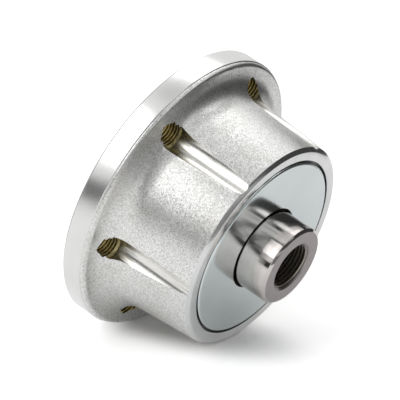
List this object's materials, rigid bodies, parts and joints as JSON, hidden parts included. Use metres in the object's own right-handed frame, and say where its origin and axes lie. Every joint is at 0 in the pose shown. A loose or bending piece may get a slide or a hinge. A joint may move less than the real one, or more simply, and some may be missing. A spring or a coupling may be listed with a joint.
{
  "type": "agricultural disc hub bearing",
  "caption": "Flanged cast hub on a sealed double-row ball bearing, with tapped disc bolt holes and a tapped stub shaft.",
  "frame": {"origin": "centre of the flange's flat back face, where the disc is bolted on", "axes": "+Z along the shaft, from the disc side out through the nose; +X through one of the bolt holes"},
  "size_m": [0.117, 0.117, 0.064],
  "materials": {
    "blasted_iron": "shot-blasted ductile iron, machined on the rim, back and nose",
    "ground_steel": "turned and ground shaft steel",
    "plated_steel": "bright zinc-plated pressing",
    "race_steel": "ground bearing steel",
    "spring_steel": "black phosphated spring steel",
    "cage_nylon": "moulded glass-filled nylon",
    "seal_rubber": "moulded nitrile rubber"
  },
  "bodies": {
    "hub": {"housing": "blasted_iron", "outer_ring": "race_steel", "bearing_circlip": "spring_steel", "end_cap": "plated_steel", "end_cap_o_ring": "seal_rubber", "seal_case": "plated_steel", "seal_lips": "seal_rubber", "bearing_seal_front": "seal_rubber", "bearing_seal_rear": "seal_rubber"},
    "stub_axle": {"shaft": "ground_steel", "wear_sleeve": "race_steel", "seal_shield": "plated_steel", "lock_washer": "spring_steel", "lock_nut": "spring_steel", "inner_ring_front": "race_steel", "inner_ring_rear": "race_steel"},
    "ball_row_front": {"cage_front": "cage_nylon", "ball_front_01": "race_steel", "ball_front_02": "race_steel", "ball_front_03": "race_steel", "ball_front_04": "race_steel", "ball_front_05": "race_steel", "ball_front_06": "race_steel", "ball_front_07": "race_steel", "ball_front_08": "race_steel", "ball_front_09": "race_steel", "ball_front_10": "race_steel", "ball_front_11": "race_steel", "ball_front_12": "race_steel"},
    "ball_row_rear": {"cage_rear": "cage_nylon", "ball_rear_01": "race_steel", "ball_rear_02": "race_steel", "ball_rear_03": "race_steel", "ball_rear_04": "race_steel", "ball_rear_05": "race_steel", "ball_rear_06": "race_steel", "ball_rear_07": "race_steel", "ball_rear_08": "race_steel", "ball_rear_09": "race_steel", "ball_rear_10": "race_steel", "ball_rear_11": "race_steel", "ball_rear_12": "race_steel"}
  },
  "joints": [
    {"name": "shaft_spin", "type": "hinge", "parent": "hub", "child": "stub_axle", "pos_m": [0, 0, 0], "axis": [0, 0, 1], "continuous": true},
    {"name": "front_row_turn", "type": "hinge", "parent": "hub", "child": "ball_row_front", "pos_m": [0, 0, 0], "axis": [0, 0, 1], "continuous": true},
    {"name": "rear_row_turn", "type": "hinge", "parent": "hub", "child": "ball_row_rear", "pos_m": [0, 0, 0], "axis": [0, 0, 1], "continuous": true}
  ],
  "couplings": [
    {"joint": "front_row_turn", "follows": "shaft_spin", "ratio": 0.4229},
    {"joint": "rear_row_turn", "follows": "shaft_spin", "ratio": 0.4229}
  ]
}
